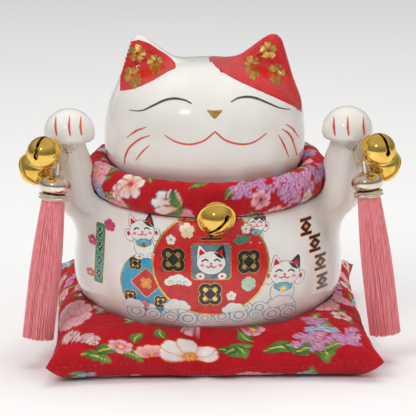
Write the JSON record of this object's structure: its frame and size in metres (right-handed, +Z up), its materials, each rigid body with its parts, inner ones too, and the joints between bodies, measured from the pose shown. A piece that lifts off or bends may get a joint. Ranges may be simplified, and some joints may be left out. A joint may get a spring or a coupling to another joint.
{
  "type": "beckoning cat figurine",
  "caption": "Glazed ceramic cat with both paws raised on a square cushion, with a padded collar and bell, and jingle bells and a tassel hanging from each paw.",
  "frame": {"origin": "on the floor under the middle of the cushion", "axes": "+Z up, the cat faces -Y, and +X is to the right as seen from the front"},
  "size_m": [0.2736, 0.237, 0.2246],
  "materials": {
    "glazed_white": "clear gloss glaze over warm white porcelain",
    "floral_cloth": "printed cotton, matt",
    "wadding": "white polyester wadding",
    "gold": "gold plated and polished",
    "steel": "bright nickel-plated wire",
    "pale_gold": "pale champagne-gold plating, polished",
    "pink_thread": "silky rayon threads",
    "red_thread": "sewing thread",
    "plug_rubber": "soft off-white plug"
  },
  "bodies": {
    "cushion": {"cushion_top_panel": "floral_cloth", "cushion_bottom_panel": "floral_cloth", "cushion_wadding": "wadding"},
    "cat": {"cat_shell": "glazed_white", "vent_plug": "plug_rubber", "collar_sleeve": "floral_cloth", "collar_wadding": "wadding", "collar_tab": "floral_cloth", "collar_stitch": "red_thread"},
    "collar_bell": {"collar_bell_crown": "gold", "collar_bell_base": "gold", "collar_bell_shank": "gold"},
    "collar_bell_pellet": {"collar_bell_pellet": "steel"},
    "paw_ring_left": {"paw_ring_left": "steel"},
    "link_ring_left": {"link_ring_left": "gold"},
    "front_bell_left": {"front_bell_left_crown": "gold", "front_bell_left_base": "gold", "front_bell_left_shank": "gold"},
    "front_bell_left_pellet": {"front_bell_left_pellet": "steel"},
    "back_bell_left": {"back_bell_left_crown": "gold", "back_bell_left_base": "gold", "back_bell_left_shank": "gold"},
    "back_bell_left_pellet": {"back_bell_left_pellet": "steel"},
    "tassel_left": {"tassel_bail_left": "pale_gold", "tassel_cap_left": "pale_gold", "tassel_rim_left": "pale_gold", "tassel_binding_left": "pink_thread", "tassel_skirt_left": "pink_thread"},
    "paw_ring_right": {"paw_ring_right": "steel"},
    "link_ring_right": {"link_ring_right": "gold"},
    "front_bell_right": {"front_bell_right_crown": "gold", "front_bell_right_base": "gold", "front_bell_right_shank": "gold"},
    "front_bell_right_pellet": {"front_bell_right_pellet": "steel"},
    "back_bell_right": {"back_bell_right_crown": "gold", "back_bell_right_base": "gold", "back_bell_right_shank": "gold"},
    "back_bell_right_pellet": {"back_bell_right_pellet": "steel"},
    "tassel_right": {"tassel_bail_right": "pale_gold", "tassel_cap_right": "pale_gold", "tassel_rim_right": "pale_gold", "tassel_binding_right": "pink_thread", "tassel_skirt_right": "pink_thread"}
  },
  "joints": [
    {"name": "cat_lift", "type": "slide", "parent": "cushion", "child": "cat", "axis": [0, 0, 1], "range_m": [0, 0.15]},
    {"name": "collar_bell_swing", "type": "hinge", "parent": "cat", "child": "collar_bell", "pos_m": [0.0007, -0.0871, 0.1212], "axis": [1, 0, 0], "range_deg": [0, 30]},
    {"name": "collar_bell_pellet_roll", "type": "slide", "parent": "collar_bell", "child": "collar_bell_pellet", "axis": [0, 0, 1], "range_m": [0, 0.014]},
    {"name": "paw_ring_left_swing", "type": "hinge", "parent": "cat", "child": "paw_ring_left", "pos_m": [-0.1012, -0.044, 0.15775], "axis": [0.9659, 0.2588, 0], "range_deg": [0, 7]},
    {"name": "link_ring_left_swing", "type": "hinge", "parent": "paw_ring_left", "child": "link_ring_left", "pos_m": [-0.10265, -0.04439, 0.1517], "axis": [0.9659, 0.2588, 0], "range_deg": [0, 5]},
    {"name": "front_bell_left_swing", "type": "hinge", "parent": "link_ring_left", "child": "front_bell_left", "pos_m": [-0.11409, -0.05236, 0.14267], "axis": [0.8078, -0.5727, -0.1397], "range_deg": [-10, 10]},
    {"name": "front_bell_left_pellet_roll", "type": "slide", "parent": "front_bell_left", "child": "front_bell_left_pellet", "axis": [0, 0, 1], "range_m": [0, 0.014]},
    {"name": "back_bell_left_swing", "type": "hinge", "parent": "link_ring_left", "child": "back_bell_left", "pos_m": [-0.11789, -0.04522, 0.14768], "axis": [-0.1243, -0.8133, -0.5685], "range_deg": [-10, 0]},
    {"name": "back_bell_left_pellet_roll", "type": "slide", "parent": "back_bell_left", "child": "back_bell_left_pellet", "axis": [0, 0, 1], "range_m": [0, 0.014]},
    {"name": "tassel_left_swing", "type": "hinge", "parent": "link_ring_left", "child": "tassel_left", "pos_m": [-0.10923, -0.05388, 0.14249], "axis": [0.989, -0.0948, -0.1137], "range_deg": [-5, 0]},
    {"name": "paw_ring_right_swing", "type": "hinge", "parent": "cat", "child": "paw_ring_right", "pos_m": [0.1012, -0.044, 0.15775], "axis": [0.9659, -0.2588, 0], "range_deg": [0, 7]},
    {"name": "link_ring_right_swing", "type": "hinge", "parent": "paw_ring_right", "child": "link_ring_right", "pos_m": [0.10265, -0.04439, 0.1517], "axis": [0.9659, -0.2588, 0], "range_deg": [0, 5]},
    {"name": "front_bell_right_swing", "type": "hinge", "parent": "link_ring_right", "child": "front_bell_right", "pos_m": [0.11409, -0.05236, 0.14267], "axis": [0.8078, 0.5727, 0.1397], "range_deg": [-10, 10]},
    {"name": "front_bell_right_pellet_roll", "type": "slide", "parent": "front_bell_right", "child": "front_bell_right_pellet", "axis": [0, 0, 1], "range_m": [0, 0.014]},
    {"name": "back_bell_right_swing", "type": "hinge", "parent": "link_ring_right", "child": "back_bell_right", "pos_m": [0.11789, -0.04522, 0.14768], "axis": [-0.1243, 0.8133, 0.5685], "range_deg": [-10, 0]},
    {"name": "back_bell_right_pellet_roll", "type": "slide", "parent": "back_bell_right", "child": "back_bell_right_pellet", "axis": [0, 0, 1], "range_m": [0, 0.014]},
    {"name": "tassel_right_swing", "type": "hinge", "parent": "link_ring_right", "child": "tassel_right", "pos_m": [0.10923, -0.05388, 0.14249], "axis": [0.989, 0.0948, 0.1137], "range_deg": [-5, 0]}
  ]
}
